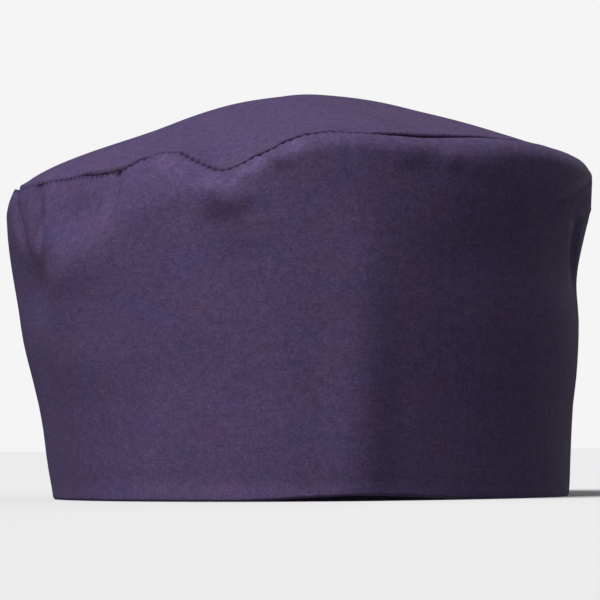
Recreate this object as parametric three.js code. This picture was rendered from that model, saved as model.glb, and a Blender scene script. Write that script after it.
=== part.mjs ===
// A chef beanie of woven cloth: a domed crown sewn to a tall side band whose hem is turned up inside.
// It stands on its hem, with the head hollow open below. Millimetres, +Z up, the front towards -Y.
// Azimuths are degrees round the hat: 0 at the front, 90 at the right (+X), 180 at the back.

import * as THREE from "three";

// The cloth
const CLOTH = 1.2; // thickness of one layer
const LAYER_GAP = 0.4; // clearance between two layers that lie together
const CLOTH_COLOUR = 0x5d4d71;
const CLOTH_ROUGHNESS = 0.9;

// The crown
const CROWN_TOP = 121.6; // height of the highest point above the surface that the hat rests on
const CROWN_APEX = { x: 1.5, y: -2 };
const CROWN_ROUNDED = 0.45; // the share of its reach, from the apex, that is rounded and not a straight slope
const CROWN_DIP_REACH = 0.12; // the share of its reach, from the seam, over which a seam dip pulls it down
const CROWN_PUFF_REACH = 0.14; // how far in from the seam it puffs up most, as a share of its reach
const CROWN_SWELLS = [
  { name: "on the right", x: 47, y: -26, wide: 20, up: 0.75 },
  { name: "on the left", x: -62, y: -8, wide: 12, up: 0.6 },
];

// The hem
const HEM_DEPTH = 25; // height of the cloth that is turned up inside
const HEM_CLEAR = 0.4; // how far the turned-up layer stays above the band's lower edge

// The oval plan
const PLAN_POINTED = 0.018; // how far the oval is more pointed than an ellipse in front, and fuller behind
const PLAN_EGG = 0.05; // how much narrower the oval is in front than behind
const CENTRE = { x: 0.24, y: 1.72 }; // the middle of the box that holds the hat as its tables give it

// Half widths of the plan at shares of the wall's height
const SECTIONS = [
  { share: 0, left: 75.0, right: 81.6, front: 97.0, back: 99.0 },
  { share: 0.12, left: 76.7, right: 82.0, front: 98.0, back: 100.5 },
  { share: 0.25, left: 78.1, right: 82.7, front: 99.0, back: 102.0 },
  { share: 0.4, left: 80.8, right: 84.3, front: 100.2, back: 104.0 },
  { share: 0.55, left: 83.9, right: 85.0, front: 101.4, back: 105.8 },
  { share: 0.68, left: 85.6, right: 84.5, front: 102.4, back: 107.0 },
  { share: 0.82, left: 87.7, right: 86.5, front: 103.3, back: 107.8 },
  { share: 0.92, left: 88.8, right: 88.7, front: 103.8, back: 108.0 },
  { share: 1, left: 89.2, right: 89.6, front: 104.0, back: 108.0 },
];

// The crown seam: its height, the shoulder's radius, the degrees that it turns over, and the crown's puff
const SEAM = [
  { azimuth: -180, height: 101.5, radius: 5, turn: 80, puff: 0.3 },
  { azimuth: -140, height: 98.5, radius: 5, turn: 78, puff: 0.6 },
  { azimuth: -105, height: 93.2, radius: 12, turn: 40, puff: 2.1 },
  { azimuth: -88, height: 93.3, radius: 13, turn: 39, puff: 1.9 },
  { azimuth: -74, height: 92.5, radius: 18, turn: 26, puff: 2.3 },
  { azimuth: -60, height: 94.2, radius: 42, turn: 31, puff: 1.8 },
  { azimuth: -45, height: 94, radius: 42, turn: 33, puff: 0.8 },
  { azimuth: -20, height: 98.5, radius: 9, turn: 66, puff: -0.2 },
  { azimuth: 0, height: 101.8, radius: 5, turn: 78, puff: 0.3 },
  { azimuth: 15, height: 103.2, radius: 4.5, turn: 84, puff: 0.4 },
  { azimuth: 35, height: 103.4, radius: 6, turn: 100, puff: 0.6 },
  { azimuth: 55, height: 103.5, radius: 5.8, turn: 102, puff: 0.4 },
  { azimuth: 80, height: 101.8, radius: 6.5, turn: 104, puff: 0.5 },
  { azimuth: 110, height: 101.3, radius: 6.5, turn: 98, puff: 0.5 },
  { azimuth: 145, height: 101.6, radius: 5.5, turn: 86, puff: 0.4 },
];

// Where the seam dips between its rows, or rises where the drop is negative
const SEAM_DIPS = [
  { azimuth: -30.5, width: 9.2, drop: -5.1 },
  { azimuth: -17.5, width: 14, drop: 6.1 },
  { azimuth: 152, width: 12, drop: 2.5 },
  { azimuth: -122, width: 10, drop: 1.8 },
  { azimuth: 25.5, width: 6.5, drop: 1.6 },
];

// Folds and dents of the wall: width in degrees, height and tall in millimetres, out away from the hat,
// lean in degrees for each millimetre of height
const FOLDS = [
  { name: "bulge under the front dip", azimuth: -16, height: 84, wide: 5, tall: 4.5, out: 2.1, lean: 0 },
  { name: "right end of that bulge", azimuth: -11, height: 88.5, wide: 5, tall: 4.5, out: 1.3, lean: 0 },
  { name: "lower side of that bulge", azimuth: -13, height: 78, wide: 8, tall: 7, out: 0.9, lean: 0 },
  { name: "left pocket", azimuth: -65.5, height: 65, wide: 6, tall: 12, out: -3, lean: 0 },
  { name: "shallow left side of the pocket", azimuth: -77, height: 66, wide: 9, tall: 15, out: -1.2, lean: 0 },
  { name: "long lower end of the pocket", azimuth: -71, height: 48, wide: 6, tall: 16, out: -0.8, lean: 0 },
  { name: "hollow below the seam on the left", azimuth: -51, height: 83.5, wide: 9, tall: 8, out: -3.1, lean: 0.4 },
  { name: "crest below that hollow", azimuth: -50, height: 68, wide: 9, tall: 7, out: 0.9, lean: 0.8 },
  { name: "broad fullness below that crest", azimuth: -48, height: 42, wide: 13, tall: 12, out: 1, lean: 0 },
  { name: "fullness under the front of the seam", azimuth: 5, height: 98, wide: 12, tall: 12, out: 0.7, lean: 0 },
  { name: "small bulge on the right shoulder", azimuth: 22.5, height: 98, wide: 4.5, tall: 4.5, out: 0.8, lean: 0 },
  { name: "longer bulge beside it", azimuth: 38, height: 95.5, wide: 7, tall: 3.5, out: 0.8, lean: 0 },
  { name: "right crease, upper part", azimuth: 78, height: 86, wide: 3, tall: 4.5, out: -1.8, lean: 0.9 },
  { name: "right crease, lower part", azimuth: 77, height: 74, wide: 3.2, tall: 10, out: -1.7, lean: -0.2 },
  { name: "lobe behind that crease", azimuth: 88, height: 82, wide: 7, tall: 10, out: 0.6, lean: 0 },
  { name: "back left fold", azimuth: -118, height: 72, wide: 7, tall: 20, out: -1.6, lean: 0.1 },
  { name: "back left bulge", azimuth: -146, height: 86, wide: 11, tall: 7, out: 1.1, lean: 0 },
  { name: "back right fold", azimuth: 128, height: 70, wide: 8, tall: 22, out: -1.8, lean: -0.15 },
  { name: "back shoulder hollow", azimuth: 166, height: 85, wide: 11, tall: 7, out: -1, lean: 0 },
  { name: "hollow between the left pleats", azimuth: -70, height: 83, wide: 5, tall: 8, out: -1.3, lean: -0.2 },
  { name: "slanting ridge on the right", azimuth: 70, height: 90, wide: 3, tall: 6, out: 1.1, lean: 2 },
  { name: "soft corner down the front", azimuth: 13, height: 25, wide: 6.5, tall: 45, out: 2.1, lean: 0 },
  { name: "fullness to the right of that corner", azimuth: 17, height: 35, wide: 11, tall: 45, out: 0.9, lean: 0 },
  { name: "low fullness on the left", azimuth: -45, height: 6, wide: 14, tall: 26, out: 1.3, lean: 0 },
];

// Where the hem lifts off the surface
const HEM_LIFTS = [{ azimuth: 14, width: 20, lift: 1.5 }];

// Columns of facets round the hat, closer together where it folds
const COLUMN_SPANS = [
  { from: -180, to: -110, count: 11 },
  { from: -110, to: -75, count: 7 },
  { from: -75, to: -30, count: 15 },
  { from: -30, to: 0, count: 10 },
  { from: 0, to: 60, count: 15 },
  { from: 60, to: 100, count: 13 },
  { from: 100, to: 180, count: 13 },
];
// Rows of facets: 0 to 1 up the wall, 1 to 2 over the shoulder, and from near the crown's apex to its seam
const WALL_ROWS = [0, 0.13, 0.26, 0.4, 0.52, 0.62, 0.69, 0.76, 0.82, 0.88, 0.94, 1];
const SHOULDER_ROWS = [1.25, 1.5, 1.75, 2];
const HEM_ROWS = [0.38, 0.75, 1]; // of the hem, as shares of its depth
const ALLOWANCE_ROWS = [0.94, 1, 1.25, 1.5, 1.75]; // of the seam allowance, inside the shoulder
const CROWN_ROWS = [0.2, 0.38, 0.54, 0.68, 0.8, 0.89, 0.95, 1];

const radians = THREE.MathUtils.degToRad;
const clamp = THREE.MathUtils.clamp;

// The signed turn from one azimuth to another, the short way round.
function turnBetween(from, to) {
  return THREE.MathUtils.euclideanModulo(to - from + 180, 360) - 180;
}

// A soft hump, 1 in the middle, about a third at distance 1 and exactly nothing beyond 2.24.
function swell(distance) {
  return Math.max(0, 1 - (distance * distance) / 5) ** 5;
}

// One column of a table at a place between its rows, on a smooth curve through them all.
function along(rows, key, column, place) {
  const after = rows.findIndex((row) => row[key] > place);
  const last = rows.length - 1;
  const next = after < 0 ? last : Math.max(after, 1);
  const slope = (i) => {
    const low = rows[Math.max(i - 1, 0)];
    const high = rows[Math.min(i + 1, last)];
    return (high[column] - low[column]) / (high[key] - low[key]);
  };
  const [start, end] = [rows[next - 1], rows[next]];
  const span = end[key] - start[key];
  const t = clamp((place - start[key]) / span, 0, 1);
  const rise = (2 * t - 3) * t * t;
  return (
    start[column] * (1 + rise) -
    end[column] * rise +
    span * t * (1 - t) * ((1 - t) * slope(next - 1) - t * slope(next))
  );
}

// The seam's rows carried on past both ends, so that the curve through them closes round the hat.
const SEAM_ROUND = [
  ...SEAM.slice(-2).map((row) => ({ ...row, azimuth: row.azimuth - 360 })),
  ...SEAM,
  ...SEAM.slice(0, 2).map((row) => ({ ...row, azimuth: row.azimuth + 360 })),
];

function seamAt(azimuth, column) {
  return along(SEAM_ROUND, "azimuth", column, azimuth);
}

function seamDip(azimuth) {
  return SEAM_DIPS.reduce(
    (sum, dip) => sum + dip.drop * swell(turnBetween(dip.azimuth, azimuth) / dip.width),
    0,
  );
}

function hemLift(azimuth) {
  return HEM_LIFTS.reduce(
    (sum, row) => sum + row.lift * swell(turnBetween(row.azimuth, azimuth) / row.width),
    0,
  );
}

// How far the folds push the wall out at an azimuth and a height.
function foldOut(azimuth, height) {
  return FOLDS.reduce((sum, fold) => {
    const above = height - fold.height;
    const aside = turnBetween(fold.azimuth, azimuth) - fold.lean * above;
    return sum + fold.out * swell(Math.hypot(aside / fold.wide, above / fold.tall));
  }, 0);
}

// A point of the oval plan, at a share of the wall's height.
function planPoint(azimuth, share) {
  const [left, right, front, back] = ["left", "right", "front", "back"].map((side) =>
    along(SECTIONS, "share", side, share),
  );
  const angle = radians(azimuth);
  const [sine, cosine] = [Math.sin(angle), Math.cos(angle)];
  const halfWidth = (right + left) / 2 + ((right - left) / 2) * sine;
  const halfDepth = (front + back) / 2 + ((front - back) / 2) * cosine;
  const pointed = PLAN_POINTED * cosine;
  return new THREE.Vector2(
    ((halfWidth * (sine - pointed * Math.sin(3 * angle))) / (1 + pointed)) * (1 - PLAN_EGG * cosine),
    (-halfDepth * (cosine + pointed * Math.cos(3 * angle))) / (1 + pointed),
  );
}

// The direction straight out of the plan.
function planNormal(azimuth, share) {
  const step = 0.5;
  const way = planPoint(azimuth + step, share).sub(planPoint(azimuth - step, share));
  return new THREE.Vector2(way.y, -way.x).normalize();
}

// A point of the side band. Rise 0 to 1 is the wall and 1 to 2 the shoulder, whose end is the crown seam.
// Inward is the depth under the band's outer face.
function bandPoint(azimuth, rise, inward) {
  const up = Math.min(rise, 1);
  const turn = radians(seamAt(azimuth, "turn"));
  const bend = turn * Math.max(rise - 1, 0);
  const radius = seamAt(azimuth, "radius");
  const shoulder = seamAt(azimuth, "height") - seamDip(azimuth) - radius * Math.sin(turn);
  const height = shoulder * up + radius * Math.sin(bend) + hemLift(azimuth) * (1 - up);
  const proud = foldOut(azimuth, height) - inward;
  const plan = planPoint(azimuth, up);
  plan.addScaledVector(
    planNormal(azimuth, up),
    proud * Math.cos(bend) - radius * (1 - Math.cos(bend)),
  );
  return new THREE.Vector3(plan.x, plan.y, height + proud * Math.sin(bend));
}

// The rise at which the wall reaches a height above its lower edge.
function riseAt(azimuth, height) {
  return height / bandPoint(azimuth, 1, 0).z;
}

// The crown's drop from its top, 0 at the apex and 1 at the seam: rounded first, then a straight slope.
function crownFall(reach) {
  const rounded = Math.min(reach, CROWN_ROUNDED);
  const straight = reach - rounded;
  return (
    (rounded * rounded + 2 * CROWN_ROUNDED * straight) /
    (2 * CROWN_ROUNDED - CROWN_ROUNDED * CROWN_ROUNDED)
  );
}

// How far the crown swells up at a place in plan.
function crownSwell(x, y) {
  return CROWN_SWELLS.reduce(
    (sum, row) => sum + row.up * swell(Math.hypot(x - row.x, y - row.y) / row.wide),
    0,
  );
}

// A point of the crown's outer face, at reach 0 at the apex to 1 at the seam.
function crownOuter(azimuth, reach) {
  const seam = bandPoint(azimuth, 2, 0);
  const dip = seamDip(azimuth);
  const edge = seam.z + dip;
  const puffed = (1 - reach) / CROWN_PUFF_REACH;
  const x = CROWN_APEX.x + (seam.x - CROWN_APEX.x) * reach;
  const y = CROWN_APEX.y + (seam.y - CROWN_APEX.y) * reach;
  return new THREE.Vector3(
    x,
    y,
    CROWN_TOP +
      crownSwell(x, y) -
      (CROWN_TOP - edge) * crownFall(reach) -
      dip * Math.exp(-(((1 - reach) / CROWN_DIP_REACH) ** 2)) +
      seamAt(azimuth, "puff") * puffed * Math.exp(1 - puffed),
  );
}

// A point of the crown, whose edge stops clear of the band's end. Its inner face is one cloth thickness
// below, measured square to the slope.
function crownPoint(azimuth, reach, inner) {
  const seam = bandPoint(azimuth, 2, 0);
  const span = Math.hypot(seam.x - CROWN_APEX.x, seam.y - CROWN_APEX.y);
  const overhang = CLOTH * Math.max(Math.cos(radians(seamAt(azimuth, "turn"))), 0);
  const trimmed = reach * (1 - (LAYER_GAP + overhang) / span);
  const point = crownOuter(azimuth, trimmed);
  if (inner) {
    const step = 0.01;
    const fall = crownOuter(azimuth, trimmed - step).z - crownOuter(azimuth, trimmed + step).z;
    point.z -= CLOTH * Math.hypot(1, fall / (2 * step * span));
  }
  return point;
}

const AZIMUTHS = COLUMN_SPANS.flatMap(({ from, to, count }) =>
  Array.from({ length: count }, (_, i) => from + ((to - from) * i) / count),
);

// A closed body from one row of points for each azimuth. Each row goes round its cross-section, or from one
// shared end point to another where the body is a cap. One half of a row is one face of the cloth, and the
// diagonals of both faces run the same way, so that layers that lie together stay parallel.
function closedBody(rowAt, isCap) {
  const rows = AZIMUTHS.map(rowAt);
  const count = rows[0].length;
  const points = [];
  const place = (row, i) => {
    const shared = isCap && (i === 0 || i === count - 1);
    return (shared ? 0 : row) * count + i;
  };
  rows.forEach((row) => row.forEach((point) => points.push(point.x, point.y, point.z)));
  const faces = [];
  rows.forEach((_, row) => {
    const nextRow = (row + 1) % rows.length;
    for (let i = 0; i < (isCap ? count - 1 : count); i += 1) {
      const j = (i + 1) % count;
      const [low, lowNext] = [place(row, i), place(nextRow, i)];
      const [high, highNext] = [place(row, j), place(nextRow, j)];
      const firstFace = i < count / 2;
      if (low !== lowNext) faces.push(low, lowNext, firstFace ? highNext : high);
      if (high !== highNext) faces.push(firstFace ? low : lowNext, highNext, high);
    }
  });
  const used = [...new Set(faces)];
  const renumbered = new Map(used.map((index, i) => [index, i]));
  const positions = used.flatMap((index) => points.slice(3 * index, 3 * index + 3));
  const geometry = new THREE.BufferGeometry();
  geometry.setAttribute("position", new THREE.Float32BufferAttribute(positions, 3));
  geometry.setIndex(faces.map((index) => renumbered.get(index)));
  geometry.computeVertexNormals();
  return geometry;
}

// One layer of cloth on the inside of the band, at a depth under its outer face, up the given rises.
function layerRow(azimuth, rises, depth) {
  return [
    ...rises.map((rise) => bandPoint(azimuth, rise, depth)),
    ...rises.toReversed().map((rise) => bandPoint(azimuth, rise, depth + CLOTH)),
  ];
}

function sideBand() {
  const rises = [...WALL_ROWS, ...SHOULDER_ROWS];
  return closedBody((azimuth) => layerRow(azimuth, rises, 0), false);
}

function hem() {
  const heights = [HEM_CLEAR, ...HEM_ROWS.map((share) => share * HEM_DEPTH)];
  return closedBody((azimuth) => {
    const rises = heights.map((height) => riseAt(azimuth, height));
    return layerRow(azimuth, rises, CLOTH + LAYER_GAP);
  }, false);
}

function seamAllowance() {
  return closedBody((azimuth) => layerRow(azimuth, ALLOWANCE_ROWS, CLOTH + LAYER_GAP), false);
}

function crown() {
  return closedBody(
    (azimuth) => [
      crownPoint(azimuth, 0, true),
      ...CROWN_ROWS.map((reach) => crownPoint(azimuth, reach, true)),
      ...CROWN_ROWS.toReversed().map((reach) => crownPoint(azimuth, reach, false)),
      crownPoint(azimuth, 0, false),
    ],
    true,
  );
}

// A named piece of cloth, placed so that the hat's box is centred on the origin.
function clothPiece(name, geometry) {
  const material = new THREE.MeshStandardMaterial({
    color: CLOTH_COLOUR,
    roughness: CLOTH_ROUGHNESS,
    metalness: 0,
  });
  const piece = new THREE.Mesh(geometry, material);
  piece.name = name;
  piece.position.set(-CENTRE.x, -CENTRE.y, 0);
  return piece;
}

const beanie = new THREE.Group();
beanie.add(clothPiece("crown", crown()));
beanie.add(clothPiece("side_band", sideBand()));
beanie.add(clothPiece("hem", hem()));
beanie.add(clothPiece("seam_allowance", seamAllowance()));

export default beanie;
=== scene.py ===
import math

import bpy
import numpy as np
from mathutils import Euler, Matrix, Vector


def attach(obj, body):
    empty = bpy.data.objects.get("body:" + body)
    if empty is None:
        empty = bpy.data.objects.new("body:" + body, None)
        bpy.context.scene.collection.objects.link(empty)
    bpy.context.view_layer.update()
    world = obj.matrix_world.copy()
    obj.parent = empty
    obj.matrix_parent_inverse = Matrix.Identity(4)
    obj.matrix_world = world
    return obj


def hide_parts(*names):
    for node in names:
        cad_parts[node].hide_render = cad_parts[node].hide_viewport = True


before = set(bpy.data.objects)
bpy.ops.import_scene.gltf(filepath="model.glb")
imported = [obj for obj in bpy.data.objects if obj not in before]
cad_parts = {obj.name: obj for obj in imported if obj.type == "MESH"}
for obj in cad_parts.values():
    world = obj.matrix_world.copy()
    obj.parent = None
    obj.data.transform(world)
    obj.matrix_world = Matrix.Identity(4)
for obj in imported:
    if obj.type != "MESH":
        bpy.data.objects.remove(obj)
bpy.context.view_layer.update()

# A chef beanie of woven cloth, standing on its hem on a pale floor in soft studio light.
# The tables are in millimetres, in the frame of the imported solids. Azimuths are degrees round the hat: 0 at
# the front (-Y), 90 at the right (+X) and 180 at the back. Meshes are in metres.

MM = 0.001


def rows(columns, *values):
    """A short table, as its columns by name."""
    return dict(zip(columns.split(), np.array(values, float).T))


# The cloth, millimetres
CLOTH_THICK = 0.6
CENTRE = (0.24, 1.72)  # the middle of the box that holds the hat as its tables give it

# The crown
CROWN_TOP = 121.6
CROWN_APEX = (1.5, -2.0)
CROWN_ROUNDED = 0.45  # the share of its reach, from the apex, that is rounded and not a straight slope
CROWN_DIP_REACH = 0.15  # the share of its reach, from the seam, over which the seam's dips die away
CROWN_PUFF_REACH = 0.14  # how far from the seam it is fullest, as the same share
# Soft swellings of the crown: the middle in plan, the width and the height
CROWN_SWELLS = rows("x y wide up", (47, -26, 20, 0.75), (-62, -8, 12, 0.6))

# The oval plan, as half sizes at shares of the wall's height
PLAN_POINTED = 0.018  # how far its front and back are drawn to a point
PLAN_EGG = 0.05  # how much narrower it is towards the front, and wider towards the back
SECTIONS = rows(
    "share left right front back",
    (0.00, 75.0, 81.6, 97.0, 99.0),
    (0.12, 76.7, 82.0, 98.0, 100.5),
    (0.25, 78.1, 82.7, 99.0, 102.0),
    (0.40, 80.8, 84.3, 100.2, 104.0),
    (0.55, 83.9, 85.0, 101.4, 105.8),
    (0.68, 85.6, 84.5, 102.4, 107.0),
    (0.82, 87.7, 86.5, 103.3, 107.8),
    (0.92, 88.8, 88.7, 103.8, 108.0),
    (1.00, 89.2, 89.6, 104.0, 108.0),
)

# The crown seam: its height, the shoulder's radius, the degrees that it turns over, and the crown's puff
SEAM = rows(
    "azimuth height radius turn puff",
    (-180, 101.5, 5, 80, 0.3),
    (-140, 98.5, 5, 78, 0.6),
    (-105, 93.2, 12, 40, 2.1),
    (-88, 93.3, 13, 39, 1.9),
    (-74, 92.5, 18, 26, 2.3),
    (-60, 94.2, 42, 31, 1.8),
    (-45, 94, 42, 33, 0.8),
    (-20, 98.5, 9, 66, -0.2),
    (0, 101.8, 5, 78, 0.3),
    (15, 103.2, 4.5, 84, 0.4),
    (35, 103.4, 6, 100, 0.6),
    (55, 103.5, 5.8, 102, 0.4),
    (80, 101.8, 6.5, 104, 0.5),
    (110, 101.3, 6.5, 98, 0.5),
    (145, 101.6, 5.5, 86, 0.4),
)
# Where the seam dips below that height, or with a drop below 0 rises, and where the lower edge lifts
SEAM_DIPS = rows(
    "azimuth width drop",
    (-30.5, 9.2, -5.1),
    (-17.5, 14, 6.1),
    (152, 12, 2.5),
    (-122, 10, 1.8),
    (24, 12, 1.1),
)
HEM_LIFTS = rows("azimuth width drop", (14, 20, 1.5))

# Folds and dents of the wall: width in degrees, height and tall in millimetres, out away from the hat,
# lean in degrees for each millimetre of height
FOLDS = rows(
    "azimuth height wide tall out lean",
    (-16, 84.5, 5, 4.5, 2.3, 0),  # bulge under the front dip
    (-11, 87, 5, 4.5, 1.2, 0),  # its right end, higher up
    (-13, 78, 8, 7, 0.9, 0),  # its lower side
    (-65.5, 65, 6, 12, -3, 0),  # left pocket
    (-77, 66, 9, 15, -1.2, 0),  # its shallow left side
    (-71, 48, 6, 16, -0.8, 0),  # its long lower end
    (-51, 83.5, 9, 8, -3.1, 0.4),  # hollow to the right of it, below the seam
    (-50, 68, 9, 7, 0.9, 0.8),  # crest below that hollow
    (-48, 42, 13, 12, 1, 0),  # broad fullness below that crest
    (5, 98, 12, 12, 0.7, 0),  # fullness under the front of the seam
    (22.5, 98, 4.5, 4.5, 0.8, 0),  # small bulge on the right shoulder
    (38, 95.5, 7, 3.5, 0.6, 0),  # longer bulge beside it
    (78, 86, 3, 4.5, -1.8, 0.9),  # right crease, upper part
    (77, 74, 3.2, 10, -1.7, -0.2),  # right crease, lower part
    (88, 82, 7, 10, 0.6, 0),  # lobe behind that crease
    (-118, 72, 7, 20, -1.6, 0.1),  # back left fold
    (-146, 86, 11, 7, 1.1, 0),  # back left bulge
    (128, 70, 8, 22, -1.8, -0.15),  # back right fold
    (166, 85, 11, 7, -1, 0),  # back shoulder hollow
    (-65, 85, 2.3, 8, -2.4, -0.15),  # inner left pleat
    (-64.5, 79.5, 2.6, 5, -2, 0),  # its deep lower end
    (-60, 82, 3.5, 9, 0.9, 0),  # ridge to the right of it
    (-71, 64, 4.5, 12, -0.9, 0),  # steeper left side of the pocket
    (-70, 83, 5, 8, -1.3, -0.2),  # hollow between the left pleats
    (-74.5, 84, 2, 9, -1.8, -0.3),  # outer left pleat
    (-42.5, 88, 1.6, 7, -1.6, 0),  # small crease below the left of the seam
    (-59, 90, 5, 8, -1, 0),  # shallow hollow to the right of those pleats
    (-17, 87.2, 2.2, 2.4, 1.2, 0),  # small swell below the front dip
    (-21, 88.5, 1.8, 2.2, 0.6, 0),  # smaller swell to the left of it
    (-10.5, 92, 3.5, 2.4, 0.7, 0),  # wider swell to the right of it
    (-4, 96, 3, 2.4, 0.6, 0),  # swell at the right end of that row
    (32, 96.5, 2, 2.5, 0.6, 0),  # pucker on the right
    (70, 90, 2.6, 6, 1.3, 2),  # slanting ridge on the right
    (79, 83, 2, 4, 0.8, 2),  # smaller ridge beside it
    (80.5, 72, 2, 10, 0.7, -0.2),  # sharp right side of the right crease
    (13, 25, 6.5, 45, 2.1, 0),  # soft corner down the front
    (17, 35, 11, 45, 0.9, 0),  # fullness to the right of that corner
    (-90, 90, 8, 3, -0.5, 0),  # hollow below the left end of the seam
    (-45, 6, 14, 26, 1.3, 0),  # low fullness on the left
    (-25, 0, 55, 3.6, 1.1, 0),  # the lower edge turned out a little in front
)

# The edges of the cloth at the crown seam, which roll down into it
LIP_RADIUS = 0.7  # of the band's edge
LIP_TURN = 165
LIP_DEEP = 1.3  # how far both edges go on down after their turn
CROWN_LIP_TURN = 150
LIP_REACH = 1.5  # how far the crown's edge then reaches out to meet the band's
# The crown's edge: the radius of its roll into the seam, the slit left beside it, how far it swells up beside
# the seam, and how much the stitches pucker it
CROWN_EDGE = rows(
    "azimuth roll slit lift pucker",
    (-180, 0.4, 0, 0, 0.8),
    (-110, 0.3, 0, -0.3, 0.8),
    (-88, 0.4, 0.05, 0, 0.9),
    (-76, 0.45, 0.05, -0.4, 0.9),
    (-62, 0.25, 0, -0.8, 0.35),
    (-53, 0.8, 0.05, 0.3, 0.8),
    (-47, 1, 0.05, 0.8, 0.7),
    (-40, 0.7, 0, 0.7, 0.8),
    (-34, 0.3, 0, -0.2, 1),
    (-24, 0.35, 0.05, 0.1, 1.3),
    (-12, 0.45, 0.05, 0.35, 1.3),
    (-3, 0.45, 0.05, 0.5, 1.3),
    (12, 0.4, 0.05, 0, 0.8),
    (25, 0.8, 0.1, 1.1, 0.2),
    (38, 0.8, 0, 0.9, 0.2),
    (50, 0.5, 0.1, 0.4, 0.3),
    (100, 0.4, 0, 0.1, 0.7),
    (180, 0.4, 0, 0, 0.8),
)
ROLL_WIDTH = 0.75  # how wide the roll is in plan, as a share of its radius
ROLL_LENGTH = 0.8  # how long its cloth is counted to be, as a share of its radius
LIFT_REACH = 3  # how far from the seam the crown's edge swells up
# Where the edge is puckered less than this its stitch dimples and the seam's painted shade don't show, so its
# map starts farther from them
BARE_PUCKER = 0.5
BARE_PUSH = 3  # how much farther, for each 1 of pucker that it lacks

# The hem and the seam allowance
FOLD_RADIUS = 1.0  # of the fold at the hem's lower edge
HEM_DEPTH = 25
HEM_RIDGE = 0.15  # how proud the double cloth of the hem stands
HEM_RIDGE_STEEP = 1.6  # how steeply that ends at the hem's upper edge
HEM_RIDGE_START = 0.05  # the rise at which it is full
HEM_TURN_RADIUS = 0.65  # of the hem's upper edge, which is folded under
HEM_TURNED = 6  # how far it is folded under
ALLOWANCE_RISES = (0.93, 1.85)  # of its cut edge and its upper end, as band_point counts them
ALLOWANCE_DEPTHS = (2.6, 1.2)  # how far inside the band's outer face they are

# The seam up the back, as a groove
BACK_SEAM_WIDTH = 0.7
BACK_SEAM_DEEP = 0.5
BACK_REACH = 100  # from the middle of the hat to that seam, to turn degrees into millimetres

# The rows of stitches: the pitch, length and width of a stitch, its unevenness and the seed
STITCH_PITCH = 2.4
STITCH_ROWS = {
    "seam_stitches": {"pitch": STITCH_PITCH, "length": 1.7, "width": 0.45, "unevenness": 0.12, "seed": 3},
    "hem_stitches": {"pitch": 2.4, "length": 1.8, "width": 0.35, "unevenness": 0.1, "seed": 5},
    "overlock_thread": {"pitch": 1.6, "length": 1.5, "width": 0.9, "unevenness": 0.15, "seed": 7},
}
# The named inputs of the Geometry Nodes that lay them, and their kinds
STITCH_INPUTS = {
    "Line": "Geometry",
    "Pitch": "Float",
    "Stitch length": "Float",
    "Thread width": "Float",
    "Unevenness": "Float",
    "Seed": "Int",
    "Thread": "Material",
}
SEAM_STITCH_RISE = 2.75  # down the band's lip
SEAM_STITCH_IN = 0.25  # how far inwards from the lip they lie
HEM_STITCH_DOWN = 2.5  # below the hem's upper edge
HEM_STITCH_PROUD = 0.05  # into the hat from the hem's cloth
OVERLOCK_UP = 0.004  # above the allowance's cut edge, as a rise
OVERLOCK_PROUD = 0.3  # into the hat from that edge

# The puckers that the stitches draw up beside the crown seam
PUCKER_REACH = 1.8  # how far from the seam
PUCKER_AT_STITCH = -0.15  # how far out at each stitch
PUCKER_UNEVEN = 0.32  # how far out the uneven ones stand
PUCKERS_ROUND = 190  # how many of those there are round the hat
PUCKERS_END = 2.4  # the rise of the band's lip at which they end
SEAM_SEED = 21  # of the puckers, which cross the seam from the band to the crown
# Soft swells a little below the seam: how far out, how many round the hat, how far below and how tall
PUFF_OUT = 0.4
PUFFS_ROUND = 64
PUFF_BELOW = 4
PUFF_TALL = 3

# Soft waves of the cloth: how far out they stand, how many fit each way, and their seed
BAND_WAVES = ((0.35, (13, 4), 11), (0.16, (34, 9), 12))
CROWN_WAVES = ((0.30, (6, 6), 41), (0.10, (17, 17), 42))
CROWN_WAVES_HALF = 120  # half the side of the square that those are laid on
CROWN_CALM = 12  # how far from the seam they reach their full height
ALLOWANCE_WAVES = ((0.5, (70, 1), 31),)


def turn_between(start, end):
    """The signed turn from one azimuth to another, the short way round."""
    return (end - start + 180) % 360 - 180


def swell(distance):
    """A soft hump, 1 in the middle and exactly nothing beyond a distance of 2.24."""
    return np.maximum(0, 1 - distance * distance / 5) ** 5


def along(table, key, column, place):
    """One column of a table at places between its rows, on a smooth curve through them all."""
    at, value = table[key], table[column]
    slope = np.empty_like(value)
    slope[1:-1] = (value[2:] - value[:-2]) / (at[2:] - at[:-2])
    slope[0] = (value[1] - value[0]) / (at[1] - at[0])
    slope[-1] = (value[-1] - value[-2]) / (at[-1] - at[-2])
    i = np.clip(np.searchsorted(at, place, side="right") - 1, 0, len(at) - 2)
    span = at[i + 1] - at[i]
    t = np.clip((place - at[i]) / span, 0, 1)
    rise = t * t * (3 - 2 * t)
    bend = t * (1 - t) * ((1 - t) * slope[i] - t * slope[i + 1])
    return value[i] * (1 - rise) + value[i + 1] * rise + span * bend


def carried_round(table):
    """A table by azimuth with its end rows repeated, so that a curve through it closes round the hat."""
    return {
        name: np.concatenate([v[-2:], v, v[:2]])
        + (np.repeat([-360, 0, 360], [2, len(v), 2]) if name == "azimuth" else 0)
        for name, v in table.items()
    }


SEAM_ROUND = carried_round(SEAM)


def seam_at(azimuth, column):
    """One of the seam's columns, at azimuths between -180 and 180."""
    return along(SEAM_ROUND, "azimuth", column, azimuth)


def humps(table, azimuth):
    """The sum of a table's humps round the hat."""
    steps = zip(table["azimuth"], table["width"], table["drop"])
    return sum(drop * swell(turn_between(at, azimuth) / width) for at, width, drop in steps)


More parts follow.
